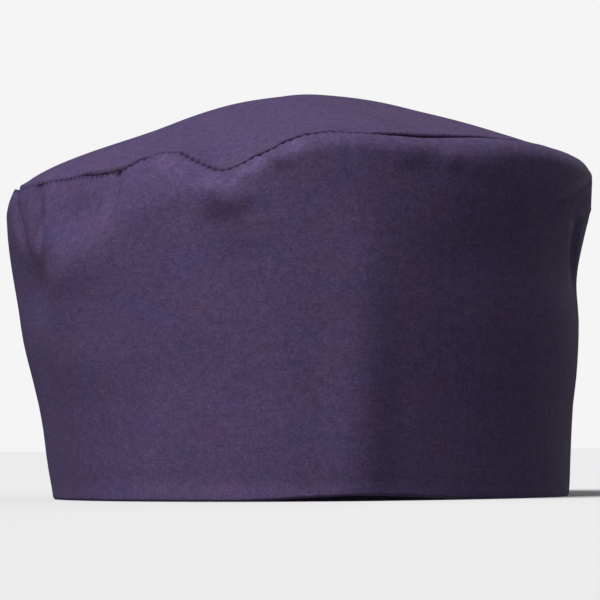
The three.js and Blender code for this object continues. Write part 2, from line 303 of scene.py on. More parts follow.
def fold_out(azimuth, height):
    """How far the folds push the wall out."""
    out = 0
    for at, middle, wide, tall, push, lean in zip(*FOLDS.values()):
        above = height - middle
        aside = turn_between(at, azimuth) - lean * above
        out = out + push * swell(np.hypot(aside / wide, above / tall))
    return out


def plan_point(azimuth, share):
    """A point of the oval plan at a share of the wall's height."""
    left, right, front, back = (along(SECTIONS, "share", side, share) for side in list(SECTIONS)[1:])
    angle = np.radians(azimuth)
    sine, cosine = np.sin(angle), np.cos(angle)
    half_width = (right + left) / 2 + (right - left) / 2 * sine
    half_depth = (front + back) / 2 + (front - back) / 2 * cosine
    pointed = PLAN_POINTED * cosine
    x = half_width * (sine - pointed * np.sin(3 * angle)) / (1 + pointed) * (1 - PLAN_EGG * cosine)
    y = -half_depth * (cosine + pointed * np.cos(3 * angle)) / (1 + pointed)
    return x - CENTRE[0], y - CENTRE[1]


def plan_normal(azimuth, share, step=0.5):
    """The direction straight out of the plan."""
    x0, y0 = plan_point(azimuth - step, share)
    x1, y1 = plan_point(azimuth + step, share)
    length = np.hypot(x1 - x0, y1 - y0)
    return (y1 - y0) / length, (x0 - x1) / length


def band_point(azimuth, rise, depth=0.0):
    """Points of the side band. Rise 0 to 1 is the wall, 1 to 2 the shoulder, 2 to 3 the lip that rolls down
    into the seam and 3 to 4 its end; -1 to 0 is the fold at the lower edge. Depth goes inwards from the outer
    face."""
    azimuth, rise, depth = np.broadcast_arrays(azimuth, rise, depth)
    up = np.clip(rise, 0, 1)
    turn = np.radians(seam_at(azimuth, "turn"))
    radius = seam_at(azimuth, "radius")
    shoulder = seam_at(azimuth, "height") - humps(SEAM_DIPS, azimuth) - radius * np.sin(turn)
    bend = turn * np.clip(rise - 1, 0, 1)
    lip = turn + (math.radians(LIP_TURN) - turn) * np.clip(rise - 2, 0, 1)
    under = np.pi / 2 * np.clip(-rise, 0, 1)
    height = FOLD_RADIUS * (1 - np.sin(under)) + (shoulder - FOLD_RADIUS) * up
    height = height + radius * np.sin(bend) + LIP_RADIUS * (np.sin(lip) - np.sin(turn))
    height = height + humps(HEM_LIFTS, azimuth) * (1 - up)
    inset = radius * (1 - np.cos(bend)) + LIP_RADIUS * (np.cos(turn) - np.cos(lip))
    inset = inset + FOLD_RADIUS * (1 - np.cos(under))
    height = height - LIP_DEEP * np.clip(rise - 3, 0, 1)
    way = np.where(rise > 2, lip, bend)
    proud = fold_out(azimuth, height) * np.cos(np.clip(rise - 2, 0, 1) * np.pi / 2) - depth
    out_x, out_y = plan_normal(azimuth, up)
    x, y = plan_point(azimuth, up)
    out = proud * np.cos(way) - inset
    return np.stack([x + out_x * out, y + out_y * out, height + proud * np.sin(way)], -1)


def seam_point(azimuth):
    """Points of the shoulder's end, where the lip begins."""
    return band_point(azimuth, 2.0)


def crown_fall(reach):
    """The crown's drop from its top, 0 at the apex and 1 at the seam: rounded first, then a straight
    slope."""
    rounded = np.minimum(reach, CROWN_ROUNDED)
    steep = 2 * CROWN_ROUNDED * (reach - rounded)
    return (rounded**2 + steep) / (2 * CROWN_ROUNDED - CROWN_ROUNDED**2)


def crown_point(azimuth, reach):
    """Points of the crown's outer face, at reach 0 at the apex to 1 at the seam."""
    seam = seam_point(azimuth)
    dip = humps(SEAM_DIPS, azimuth)
    edge = seam[..., 2] + dip
    apex = np.array(CROWN_APEX) - CENTRE
    puffed = (1 - reach) / CROWN_PUFF_REACH
    height = CROWN_TOP - (CROWN_TOP - edge) * crown_fall(reach)
    height = height - dip * np.exp(-(((1 - reach) / CROWN_DIP_REACH) ** 2))
    height = height + seam_at(azimuth, "puff") * puffed * np.exp(1 - puffed)
    x, y = (apex[i] + (seam[..., i] - apex[i]) * reach for i in (0, 1))
    for middle_x, middle_y, wide, up in zip(*CROWN_SWELLS.values()):
        aside = np.hypot(x + CENTRE[0] - middle_x, y + CENTRE[1] - middle_y)
        height = height + up * swell(aside / wide)
    return np.stack([x, y, height], -1)


def cloth_waves(u, v, cells, seed, round_u=False):
    """Soft random waves between -1 and 1 over a cloth: u and v run from 0 to 1, cells is how many waves fit
    each way, and round_u closes the pattern in u."""
    cells_u, cells_v = cells
    heights = np.random.default_rng(seed).uniform(-1, 1, (cells_u + 1, cells_v + 2))
    if round_u:
        heights[-1] = heights[0]
    a, b = np.clip(u, 0, 1) * cells_u, np.clip(v, 0, 1) * cells_v
    i, j = np.minimum(a.astype(int), cells_u - 1), np.minimum(b.astype(int), cells_v)
    s, t = a - i, b - j
    s, t = s * s * (3 - 2 * s), t * t * (3 - 2 * t)
    low = heights[i, j] * (1 - s) + heights[i + 1, j] * s
    high = heights[i, j + 1] * (1 - s) + heights[i + 1, j + 1] * s
    return low * (1 - t) + high * t


def summed_waves(table, u, v, round_u=False):
    """The sum of a table's soft waves."""
    return sum(out * cloth_waves(u, v, cells, seed, round_u) for out, cells, seed in table)


# Columns of vertices round the band: closer where it folds in front, and at the seam at the back
COLUMN_SPANS = rows(
    "start end count",
    (-180, -179, 5),
    (-179, -110, 60),
    (-110, -75, 70),
    (-75, 60, 380),
    (60, 110, 100),
    (110, 179, 60),
    (179, 180, 5),
)
# Its rows of vertices, by rise
BAND_ROWS = rows(
    "start end count",
    (-1, 0, 4),
    (0, 0.1, 6),
    (0.1, 0.6, 11),
    (0.6, 1, 22),
    (1, 2, 14),
    (2, 3, 6),
    (3, 4, 1),
)


def spaced(spans):
    """Values along spans, each start included and the last end too."""
    steps = zip(spans["start"], spans["end"], spans["count"].astype(int))
    return np.concatenate(
        [*(np.linspace(a, b, n, endpoint=False) for a, b, n in steps), spans["end"][-1:]]
    )


AZIMUTHS = spaced(COLUMN_SPANS)


def lengths_along(points, axis=0):
    """How far along a line of points each one is."""
    steps = np.linalg.norm(np.diff(points, axis=axis), axis=-1)
    start = np.zeros_like(np.take(steps, [0], axis=axis))
    return np.concatenate([start, np.cumsum(steps, axis=axis)], axis=axis)


WAIST_RISE = 0.5
SEAM_RISE = 2.5  # of the line that the two edges of the seam meet on
WAIST_LENGTHS = lengths_along(band_point(AZIMUTHS, WAIST_RISE))
SEAM_LENGTHS = lengths_along(band_point(AZIMUTHS, SEAM_RISE))


def by_column(values, rise):
    """A value for each azimuth, laid over a grid of azimuth by rise."""
    return np.broadcast_to(values[:, None], rise.shape)


def grid_normals(points):
    """The outward direction at each point of a grid that closes round the hat in its first axis."""
    across = np.empty_like(points)
    across[1:-1] = points[2:] - points[:-2]
    across[0] = across[-1] = points[1] - points[-2]
    up = np.gradient(points, axis=1)
    out = np.cross(across, up)
    return out / np.maximum(np.linalg.norm(out, axis=-1, keepdims=True), 1e-9)


def mesh_object(name, points, faces, uv_maps, material):
    """A smooth-shaded mesh object from points in millimetres. Each map of uv_maps has a place for each
    corner."""
    mesh = bpy.data.meshes.new(name)
    mesh.from_pydata((points * MM).tolist(), [], faces.tolist())
    for map_name, places in uv_maps.items():
        mesh.uv_layers.new(name=map_name).data.foreach_set("uv", places.astype(np.float32).ravel())
    mesh.materials.append(material)
    mesh.shade_smooth()
    piece = bpy.data.objects.new(name, mesh)
    bpy.context.scene.collection.objects.link(piece)
    return piece


def ring_object(name, points, uv_maps, material):
    """A piece from a grid of points round the hat, whose last column lies on its first. Each map has a
    place for each point of the grid."""
    columns, height = points.shape[:2]
    i, j = np.meshgrid(np.arange(columns - 1), np.arange(height - 1), indexing="ij")
    corners = [(i, j), (i + 1, j), (i + 1, j + 1), (i, j + 1)]
    faces = np.stack([a % (columns - 1) * height + b for a, b in corners], -1).reshape(-1, 4)
    maps = {
        key: np.stack([places[a, b] for a, b in corners], -2).reshape(-1, 2)
        for key, places in uv_maps.items()
    }
    return mesh_object(name, points[:-1].reshape(-1, 3), faces, maps, material)


def thickened(piece, thickness):
    """The piece with its cloth's thickness laid inwards."""
    solid = piece.modifiers.new("cloth thickness", "SOLIDIFY")
    solid.thickness = thickness * MM
    solid.offset = -1
    solid.use_even_offset = False
    return piece


FAR_FROM_SEAM = 100  # the seam's map on cloth that the seam leaves no marks on, in millimetres


def maps_from(u, v, seam_u, seam_v):
    """The two maps of a piece of cloth, in millimetres: its threads, and its place along and from the
    seam."""
    return {"weave": np.stack([u, v], -1), "seam": np.stack([seam_u, seam_v], -1)}


def whole_pitch(length, pitch):
    """The pitch nearest to the wanted one that divides a closed line evenly."""
    return length / round(length / pitch)


def drawn_along(seam_length, waves_round, seed):
    """Random waves round the seam, and how much its stitches draw the cloth up there."""
    share = seam_length / SEAM_LENGTHS[-1]
    waves = cloth_waves(share, 0 * share, (waves_round, 1), seed, True)
    amounts = along(CROWN_EDGE, "azimuth", "pucker", AZIMUTHS)
    return waves, np.interp(seam_length, SEAM_LENGTHS, amounts)


def seam_puckers(seam_length, distance, seed):
    """The small puckers that a seam draws into the cloth beside it: a rise between every two stitches, and
    uneven ones over a few stitches."""
    stitch = np.cos(2 * np.pi * seam_length / whole_pitch(SEAM_LENGTHS[-1], STITCH_PITCH))
    uneven, amount = drawn_along(seam_length, PUCKERS_ROUND, seed)
    near = np.exp(-((distance / PUCKER_REACH) ** 2))
    return (PUCKER_AT_STITCH * stitch + PUCKER_UNEVEN * uneven) * near * amount


def seam_puffs(seam_length, distance, seed):
    """The soft swells that stand along the band a little below the seam."""
    uneven, amount = drawn_along(seam_length, PUFFS_ROUND, seed)
    below_seam = np.exp(-(((distance - PUFF_BELOW) / PUFF_TALL) ** 2))
    return PUFF_OUT * uneven * below_seam * amount


def hem_ridge(height, rise):
    """How far the double cloth of the hem pushes the band out."""
    lower = HEM_RIDGE / (1 + np.exp((height - HEM_DEPTH) * HEM_RIDGE_STEEP))
    return lower * np.clip(rise / HEM_RIDGE_START, 0, 1)


def back_groove(azimuth, rise):
    """The groove of the seam that closes the band at the back."""
    aside = np.abs(turn_between(180, azimuth)) * np.pi / 180 * BACK_REACH
    return -BACK_SEAM_DEEP * np.exp(-((aside / BACK_SEAM_WIDTH) ** 2)) * (rise > 0) * (rise < 2)


def band_cloth(material):
    """The side band, from the fold of its hem over the shoulder to the seam."""
    rises = spaced(BAND_ROWS)
    azimuth, rise = np.meshgrid(AZIMUTHS, rises, indexing="ij")
    points = band_point(azimuth, rise)
    up_cloth = lengths_along(points, axis=1)
    seam_start = up_cloth[:, [int(np.searchsorted(rises, SEAM_RISE))]]
    waist, seam_u = by_column(WAIST_LENGTHS, rise), by_column(SEAM_LENGTHS, rise)
    waves = summed_waves(BAND_WAVES, waist / WAIST_LENGTHS[-1], up_cloth / up_cloth.max(), True)
    waves = waves * np.clip(rise, 0, 1) * np.clip(2 - rise, 0, 1)
    below = seam_start - up_cloth
    drawn = seam_puckers(seam_u, below, SEAM_SEED) + seam_puffs(seam_u, below, SEAM_SEED + 1)
    out = waves + hem_ridge(points[..., 2], rise) + back_groove(azimuth, rise) + drawn * (rise < PUCKERS_END)
    points = points + grid_normals(points) * out[..., None]
    points[-1] = points[0]
    maps = maps_from(waist, up_cloth, seam_u, below)
    return thickened(ring_object("side_band_cloth", points, maps, material), CLOTH_THICK)


def hem_profile():
    """The hem's heights and its depths inside the band's outer face, from the fold at the lower edge to the
    end that is folded under."""
    deep = 2 * FOLD_RADIUS
    under = np.radians(np.linspace(90, 0, 6))
    wall = np.linspace(FOLD_RADIUS, HEM_DEPTH, 9)[1:]
    over = np.radians(np.linspace(0, 180, 9))[1:]
    tucked = HEM_DEPTH - np.linspace(0, HEM_TURNED, 4)[1:]
    stretches = (
        (FOLD_RADIUS * (1 - np.sin(under)), deep - FOLD_RADIUS * (1 - np.cos(under))),
        (wall, np.full_like(wall, deep)),
        (HEM_DEPTH + HEM_TURN_RADIUS * np.sin(over), deep - HEM_TURN_RADIUS * (1 - np.cos(over))),
        (tucked, np.full_like(tucked, deep - 2 * HEM_TURN_RADIUS)),
    )
    return (np.concatenate(values) for values in zip(*stretches))


def hem_cloth(material):
    """The hem's turned-up layer, with its own edge folded under."""
    heights, depths = hem_profile()
    azimuth, height = np.meshgrid(AZIMUTHS, heights, indexing="ij")
    shoulder = band_point(AZIMUTHS, 1.0)[:, 2]
    rise = np.clip((height - FOLD_RADIUS) / (shoulder[:, None] - FOLD_RADIUS), 0, 1)
    points = band_point(azimuth, rise, depths)
    lift = band_point(AZIMUTHS, 0.0)[:, 2] - FOLD_RADIUS
    points[..., 2] = height + lift[:, None] * (1 - rise)
    waist = by_column(WAIST_LENGTHS, rise)
    turned = lengths_along(points, axis=1)
    maps = maps_from(waist, -turned, waist, turned + FAR_FROM_SEAM)
    # The grid runs up the inside, so its faces are turned to look into the hat.
    points = points[:, ::-1]
    maps = {key: places[:, ::-1] for key, places in maps.items()}
    return thickened(ring_object("hem_cloth", points, maps, material), CLOTH_THICK)


def allowance_cloth(material):
    """The cut edges of the seam, which hang inside the shoulder."""
    rises = np.linspace(*ALLOWANCE_RISES[::-1], 14)
    depths = np.interp(rises, ALLOWANCE_RISES, ALLOWANCE_DEPTHS)
    azimuth, rise = np.meshgrid(AZIMUTHS, rises, indexing="ij")
    waist = by_column(WAIST_LENGTHS, rise)
    flutter = summed_waves(ALLOWANCE_WAVES, waist / WAIST_LENGTHS[-1], 0 * rise, True)
    hang = np.linspace(0, 1, len(rises))
    points = band_point(azimuth, rise, depths + flutter * hang**2)
    points[-1] = points[0]
    down = lengths_along(points, axis=1)
    maps = maps_from(waist, down, waist, down + FAR_FROM_SEAM)
    return thickened(ring_object("seam_allowance_cloth", points, maps, material), CLOTH_THICK)


CROWN_CELLS = 200  # quads across the crown
CROWN_CROWDED = 1.25  # above 1, the quads are closer together towards its edge
ROLL_STEPS = 6  # rows of points down the crown's roll
LIP_STEPS = ROLL_STEPS + 2
SLOPE_STEP = 0.01  # the short reach over which the crown's slope is taken
LEAST_SLOPE = 0.05


def disc_grid(cells):
    """A square grid laid over a disc with no pole: the azimuth and reach of each vertex, its faces, and
    the indices of its rim in order round the hat."""
    line = np.linspace(-1, 1, cells + 1)
    a, b = np.meshgrid(line, line, indexing="ij")
    wide = np.abs(a) > np.abs(b)
    longer = np.where(wide, a, b)
    ratio = np.where(wide, b, a) / np.where(longer == 0, 1, longer)
    angle = np.where(wide, np.pi / 4 * ratio, np.pi / 2 - np.pi / 4 * ratio)
    x, y = longer * np.cos(angle), longer * np.sin(angle)
    index = np.arange((cells + 1) ** 2).reshape(cells + 1, cells + 1)
    faces = np.stack([index[:-1, :-1], index[1:, :-1], index[1:, 1:], index[:-1, 1:]], -1).reshape(-1, 4)
    rim = np.concatenate([index[:-1, 0], index[-1, :-1], index[:0:-1, -1], index[0, :0:-1]])
    return np.degrees(np.arctan2(x, -y)).ravel(), np.abs(longer).ravel(), faces, rim


def crown_lip(azimuth, edge, slope):
    """The crown's edge rolled down into the seam, where it meets the band's: rows of points below its
    rim."""
    out_x, out_y = plan_normal(azimuth, 1.0)
    start, end = np.arctan(slope), math.radians(CROWN_LIP_TURN)
    roll = along(CROWN_EDGE, "azimuth", "roll", azimuth)
    lip_rows = []
    for step in range(1, LIP_STEPS + 1):
        angle = start + (end - start) * min(step / ROLL_STEPS, 1)
        out = roll * (np.sin(angle) - np.sin(start)) + (LIP_REACH if step == LIP_STEPS else 0)
        down = roll * (np.cos(start) - np.cos(angle)) + (LIP_DEEP if step > ROLL_STEPS else 0)
        lip_rows.append(edge + np.stack([out_x * out, out_y * out, -down], -1))
    return lip_rows


def crown_slope(azimuth, reach):
    """How steeply the crown falls towards the seam."""
    fall = crown_point(azimuth, reach - SLOPE_STEP) - crown_point(azimuth, reach)
    return np.maximum(fall[..., 2] / np.linalg.norm(fall[..., :2], axis=-1), LEAST_SLOPE)


def crown_relief(points, azimuth, distance):
    """The crown's soft waves and the puckers beside its seam, as heights."""
    u, v = ((points[..., i] + CROWN_WAVES_HALF) / (2 * CROWN_WAVES_HALF) for i in (0, 1))
    waves = summed_waves(CROWN_WAVES, u, v) * np.clip(distance / CROWN_CALM, 0, 1)
    return waves + seam_puckers(np.interp(azimuth, AZIMUTHS, SEAM_LENGTHS), distance, SEAM_SEED)


def lip_faces(rim, count):
    """The faces of the lip, whose points follow the crown's count of points, a loop for each step."""
    around = len(rim)
    loops = [rim, *(count + step * around + np.arange(around) for step in range(LIP_STEPS))]
    # Each strip of the lip lies outside the loop before it, so its faces run that way round.
    strips = [
        np.stack([low, np.roll(low, -1), np.roll(high, -1), high], -1)
        for high, low in zip(loops[:-1], loops[1:])
    ]
    return np.concatenate(strips)


def crown_maps(points, faces, azimuth, distance):
    """The crown's maps. In a face that crosses the back, corners just past 180 degrees count as 180."""
    azimuth, places = azimuth[faces], points[faces]
    crosses = azimuth.max(axis=1, keepdims=True) - azimuth.min(axis=1, keepdims=True) > 180
    azimuth = np.where(crosses & (azimuth < 0), 180, azimuth)
    seam_u = np.interp(azimuth, AZIMUTHS, SEAM_LENGTHS)
    return maps_from(places[..., 0], places[..., 1], seam_u, distance[faces])


def crown_cloth(material):
    """The domed crown, whose edge turns down into the seam all round."""
    azimuth, ring, faces, rim = disc_grid(CROWN_CELLS)
    edge_columns = ("roll", "slit", "lift", "pucker")
    roll, slit, lift, pucker = (along(CROWN_EDGE, "azimuth", column, azimuth) for column in edge_columns)
    apex = np.array(CROWN_APEX) - CENTRE
    span = np.linalg.norm(seam_point(azimuth)[..., :2] - apex, axis=-1)
    turn = np.radians(seam_at(azimuth, "turn"))
    lip_width = LIP_RADIUS * (np.cos(turn) - math.cos(math.radians(LIP_TURN)))
    trimmed = 1 - (lip_width + slit + ROLL_WIDTH * roll) / span
    reach = (1 - (1 - ring) ** CROWN_CROWDED) * trimmed
    distance = (trimmed - reach) * span
    points = crown_point(azimuth, reach)
    points[..., 2] += lift * np.exp(-((distance / LIFT_REACH) ** 2))
    points[..., 2] += crown_relief(points, azimuth, distance)
    lips = crown_lip(azimuth[rim], points[rim], crown_slope(azimuth[rim], reach[rim]))
    faces = np.concatenate([faces, lip_faces(rim, len(points))])
    points = np.concatenate([points, *lips])
    azimuth = np.concatenate([azimuth, *([azimuth[rim]] * LIP_STEPS)])
    rolled = ROLL_LENGTH * roll
    bare = BARE_PUSH * np.maximum(0, BARE_PUCKER - pucker)
    lip_distances = [(rolled * (1 - (k + 1) / LIP_STEPS) + bare)[rim] for k in range(LIP_STEPS)]
    distance = np.concatenate([distance + rolled + bare, *lip_distances])
    maps = crown_maps(points, faces, azimuth, distance)
    return thickened(mesh_object("crown_cloth", points, faces, maps, material), CLOTH_THICK)


def socket_value(modifier, tree, name, value):
    """Sets one of a Geometry Nodes modifier's inputs by its socket's identifier."""
    items = [i for i in tree.interface.items_tree if i.item_type == "SOCKET" and i.in_out == "INPUT"]
    modifier[next(i.identifier for i in items if i.name == name)] = value


def wire(tree, *links):
    """Links between nodes. Sockets are named, or numbered where a node has several of one name."""
    for source, output, target, entry in links:
        tree.links.new(source.outputs[output], target.inputs[entry])


def stitch_scale(tree, given):
    """The nodes that give each stitch its size, made a little uneven."""
    add = tree.nodes.new
    uneven, least, most = add("FunctionNodeRandomValue"), add("ShaderNodeMath"), add("ShaderNodeMath")
    least.operation, most.operation = "SUBTRACT", "ADD"
    least.inputs[0].default_value = most.inputs[0].default_value = 1
    size, scale = add("ShaderNodeCombineXYZ"), add("ShaderNodeVectorMath")
    scale.operation = "SCALE"
    wire(
        tree,
        (given, "Unevenness", least, 1),
        (given, "Unevenness", most, 1),
        (least, 0, uneven, 2),
        (most, 0, uneven, 3),
        (given, "Seed", uneven, "Seed"),
        (given, "Stitch length", size, "X"),
        (given, "Thread width", size, "Y"),
        (given, "Thread width", size, "Z"),
        (size, 0, scale, 0),
        (uneven, 1, scale, "Scale"),
    )
    return scale


def stitch_tree():
    """Geometry Nodes that lay stitches of thread along a line of edges."""
    tree = bpy.data.node_groups.new("stitches along a line", "GeometryNodeTree")
    for name, kind in STITCH_INPUTS.items():
        tree.interface.new_socket(name, in_out="INPUT", socket_type="NodeSocket" + kind)
    tree.interface.new_socket("Stitches", in_out="OUTPUT", socket_type="NodeSocketGeometry")
    add = tree.nodes.new
    given, made = add("NodeGroupInput"), add("NodeGroupOutput")
    curve, places = add("GeometryNodeMeshToCurve"), add("GeometryNodeCurveToPoints")
    places.mode = "LENGTH"
    align = add("FunctionNodeAlignRotationToVector")
    align.axis = "X"
    stitch, lay = add("GeometryNodeMeshUVSphere"), add("GeometryNodeInstanceOnPoints")
    for name, value in {"Segments": 8, "Rings": 6, "Radius": 0.5}.items():
        stitch.inputs[name].default_value = value
    realize, smooth = add("GeometryNodeRealizeInstances"), add("GeometryNodeSetShadeSmooth")
    finish = add("GeometryNodeSetMaterial")
    wire(
        tree,
        (given, "Line", curve, "Mesh"),
        (curve, "Curve", places, "Curve"),
        (given, "Pitch", places, "Length"),
        (places, "Tangent", align, "Vector"),
        (places, "Points", lay, "Points"),
        (stitch, "Mesh", lay, "Instance"),
        (align, 0, lay, "Rotation"),
        (stitch_scale(tree, given), 0, lay, "Scale"),
        (lay, "Instances", realize, "Geometry"),
        (realize, "Geometry", smooth, 0),
        (smooth, 0, finish, "Geometry"),
        (given, "Thread", finish, "Material"),
        (finish, "Geometry", made, "Stitches"),
    )
    return tree


def stitches(name, tree, line, thread):
    """A row of stitches along a closed line of points in millimetres, as a plain mesh."""
    mesh = bpy.data.meshes.new(name + " line")
    edges = [(i, (i + 1) % len(line)) for i in range(len(line))]
    mesh.from_pydata((line * MM).tolist(), edges, [])
    piece = bpy.data.objects.new(name, mesh)
    bpy.context.scene.collection.objects.link(piece)
    modifier = piece.modifiers.new("stitches", "NODES")
    modifier.node_group = tree
    length = lengths_along(np.vstack([line, line[:1]]))[-1]
    row = STITCH_ROWS[name]
    values = {
        "Pitch": whole_pitch(length, row["pitch"]) * MM,
        "Stitch length": row["length"] * MM,
        "Thread width": row["width"] * MM,
        "Unevenness": row["unevenness"],
        "Seed": row["seed"],
        "Thread": thread,
    }
    for key, value in values.items():
        socket_value(modifier, tree, key, value)
    graph = bpy.context.evaluated_depsgraph_get()
    baked = bpy.data.meshes.new_from_object(piece.evaluated_get(graph), depsgraph=graph)
    piece.modifiers.clear()
    piece.data = baked
    bpy.data.meshes.remove(mesh)
    return piece


def seam_stitches(tree, thread):
    """The stitches that lie in the groove of the crown seam."""
    line = band_point(AZIMUTHS[:-1], SEAM_STITCH_RISE)
    out_x, out_y = plan_normal(AZIMUTHS[:-1], 1.0)
    line = line - np.stack([out_x, out_y, 0 * out_x], -1) * SEAM_STITCH_IN
    return stitches("seam_stitches", tree, line, thread)


def hem_stitches(tree, thread):
    """The row of stitches near the hem's upper edge, on the inside."""
    shoulder = band_point(AZIMUTHS[:-1], 1.0)[:, 2]
    rise = (HEM_DEPTH - HEM_STITCH_DOWN) / shoulder
    line = band_point(AZIMUTHS[:-1], rise, 2 * FOLD_RADIUS + HEM_STITCH_PROUD)
    return stitches("hem_stitches", tree, line, thread)


def overlock_stitches(tree, thread):
    """The thread that binds the cut edges of the seam allowance: short bars across them, close together."""
    rise, depth = ALLOWANCE_RISES[0] + OVERLOCK_UP, ALLOWANCE_DEPTHS[0] + OVERLOCK_PROUD
    line = band_point(AZIMUTHS[:-1], rise, depth)
    return stitches("overlock_thread", tree, line, thread)


class Nodes:
    """A material's nodes, with short ways to add and join them."""

    def __init__(self, name):
        self.material = bpy.data.materials.new(name)
        self.material.use_nodes = True
        self.tree = self.material.node_tree
        self.shader = self.tree.nodes["Principled BSDF"]

    def add(self, kind, **settings):
        node = self.tree.nodes.new(kind)
        for key, value in settings.items():
            setattr(node, key, value)
        return node

    def join(self, source, target):
        self.tree.links.new(source, target)

    def math(self, operation, *values):
        """One step of arithmetic on numbers and sockets."""
        node = self.add("ShaderNodeMath", operation=operation)
        for socket, value in zip(node.inputs, values):
            if isinstance(value, (int, float)):
                socket.default_value = value
            else:
                self.join(value, socket)
        return node.outputs[0]

    def times(self, one, other):
        """The product of two numbers or sockets."""
        return self.math("MULTIPLY", one, other)

    def line(self, value, slope, start):
        """A value times a slope, plus a start."""
        return self.math("MULTIPLY_ADD", value, slope, start)

    def noise(self, vector, scale, detail=2.0, roughness=0.5):
        """Soft noise, mostly between 0.3 and 0.7, whose scale is how many spots there are to a unit."""
        node = self.add("ShaderNodeTexNoise")
        node.inputs["Scale"].default_value = scale
        node.inputs["Detail"].default_value = detail
        node.inputs["Roughness"].default_value = roughness
        self.join(vector, node.inputs["Vector"])
        return node.outputs["Fac"]

    def scaled(self, vector, scale):
        node = self.add("ShaderNodeMapping")
        node.inputs["Scale"].default_value = scale
        self.join(vector, node.inputs["Vector"])
        return node.outputs["Vector"]

    def map_place(self, name):
        """The two coordinates of a UV map, in millimetres, and the whole vector."""
        node = self.add("ShaderNodeUVMap", uv_map=name)
        split = self.add("ShaderNodeSeparateXYZ")
        self.join(node.outputs["UV"], split.inputs[0])
        return split.outputs["X"], split.outputs["Y"], node.outputs["UV"]

    def mixed(self, factor, low, high):
        """A colour between two, by the colour sockets of a Mix node, which are its inputs 6 and 7."""
        node = self.add("ShaderNodeMix", data_type="RGBA")
        self.join(factor, node.inputs["Factor"])
        for socket, value in ((node.inputs[6], low), (node.inputs[7], high)):
            if isinstance(value, tuple):
                socket.default_value = (*value, 1)
            else:
                self.join(value, socket)
        return node.outputs[2]

    def bumped(self, height, distance):
        """Relief on the surface, whose height of 1 stands for a distance in metres."""
        node = self.add("ShaderNodeBump")
        node.inputs["Distance"].default_value = distance
        node.inputs["Strength"].default_value = 1
        self.join(height, node.inputs["Height"])
        self.join(node.outputs["Normal"], self.shader.inputs["Normal"])


# The weave: the spacing of its threads in millimetres, and the colours of the threads each way
THREAD_SPACING = 0.42
WARP_COLOUR = (0.0865, 0.0645, 0.156)
WEFT_COLOUR = (0.101, 0.0660, 0.144)
# The scales of its textures, in spots to a millimetre
SLUB_ACROSS = 2.4  # thick places in a thread, across it and along it
SLUB_ALONG = 0.10
GRAIN = 1.15
BLOTCH = 0.38
CLOUD = 0.05
HUE = 0.08  # the drift from one thread's colour to the other's
HUE_SWING = 3.2
# How far they stand out, in millimetres
WEAVE_DEEP = 0.02
GRAIN_DEEP = 0.05
WARP_SLUB_DEEP = 0.02
WEFT_SLUB_DEEP = 0.012
# The dimples beside the crown seam, and the painted shade in its groove. They fade with the distance squared.
DIMPLE_DEEP = 0.07
DIMPLE_FADE = 0.22
SEAM_PAINTED_SHADE = 0.46
STITCH_PAINTED_SHADE = 0.24  # more painted shade at each stitch
SEAM_SHADE_FADE = 1.1
# Painted highlights on the swells of the cloth drawn up below the front of the seam, in millimetres
PAINTED_HIGHLIGHT_AZIMUTH = -16  # of its middle, in degrees
PAINTED_HIGHLIGHT_BELOW = 4.42  # from the seam to its middle
PAINTED_HIGHLIGHT_REACH = 40
PAINTED_HIGHLIGHT_DEPTH = 3.4
PAINTED_HIGHLIGHT_LIGHTER = 0.42
PAINTED_HIGHLIGHT_SPOTS = 0.16  # the scale of its spots, then their contrast and how much of them is left out
PAINTED_HIGHLIGHT_CONTRAST = 4
PAINTED_HIGHLIGHT_LEAST = 1.7


def weave_height(nodes, u, v):
    """A plain weave's height, 0 to 1, and which of its threads is on top."""
    turn = math.pi / THREAD_SPACING
    across, up = (nodes.math("SINE", nodes.times(place, turn)) for place in (u, v))
    warp_up = nodes.line(nodes.times(across, up), 0.5, 0.5)
    warp = nodes.times(nodes.math("ABSOLUTE", across), warp_up)
    weft = nodes.times(nodes.math("ABSOLUTE", up), nodes.math("SUBTRACT", 1, warp_up))
    return nodes.math("MAXIMUM", warp, weft), warp_up


def seam_dimples_and_painted_shade(nodes, along_seam, from_seam, tone, relief):
    """The cloth's tone and relief, with the dimples that stitches leave beside the seam and painted shade in
    its groove, darker at each stitch.
    """
    pitch = whole_pitch(SEAM_LENGTHS[-1], STITCH_PITCH)
    beat = nodes.math("COSINE", nodes.times(along_seam, 2 * math.pi / pitch))
    away = nodes.times(from_seam, from_seam)
    near = nodes.math("EXPONENT", nodes.times(away, -DIMPLE_FADE))
    dimples = nodes.times(nodes.times(beat, near), -DIMPLE_DEEP)
    # Painted shade: the cloth is darkened in the seam's groove, and more at each stitch.
    seam_shade_falloff = nodes.math("EXPONENT", nodes.times(away, -SEAM_SHADE_FADE))
    painted_seam_shade = nodes.times(seam_shade_falloff, nodes.line(beat, STITCH_PAINTED_SHADE, SEAM_PAINTED_SHADE))
    tone = nodes.times(tone, nodes.math("SUBTRACT", 1, painted_seam_shade))
    return tone, nodes.math("ADD", relief, dimples)


def painted_highlight_spots(nodes, along_seam, from_seam, seam_place):
    """How much painted highlight the cloth gets, 0 to about 1: uneven spots in a stretch below the seam."""
    middle = float(np.interp(PAINTED_HIGHLIGHT_AZIMUTH, AZIMUTHS, SEAM_LENGTHS))
    aside = nodes.line(along_seam, 1 / PAINTED_HIGHLIGHT_REACH, -middle / PAINTED_HIGHLIGHT_REACH)
    below = nodes.line(from_seam, 1 / PAINTED_HIGHLIGHT_DEPTH, -PAINTED_HIGHLIGHT_BELOW / PAINTED_HIGHLIGHT_DEPTH)
    far = nodes.math("ADD", nodes.times(aside, aside), nodes.times(below, below))
    bell = nodes.math("EXPONENT", nodes.times(far, -1))
    spots = nodes.noise(seam_place, PAINTED_HIGHLIGHT_SPOTS, 2, 0.6)
    spots = nodes.line(spots, PAINTED_HIGHLIGHT_CONTRAST, -PAINTED_HIGHLIGHT_LEAST)
    return nodes.times(bell, nodes.math("MAXIMUM", spots, 0))


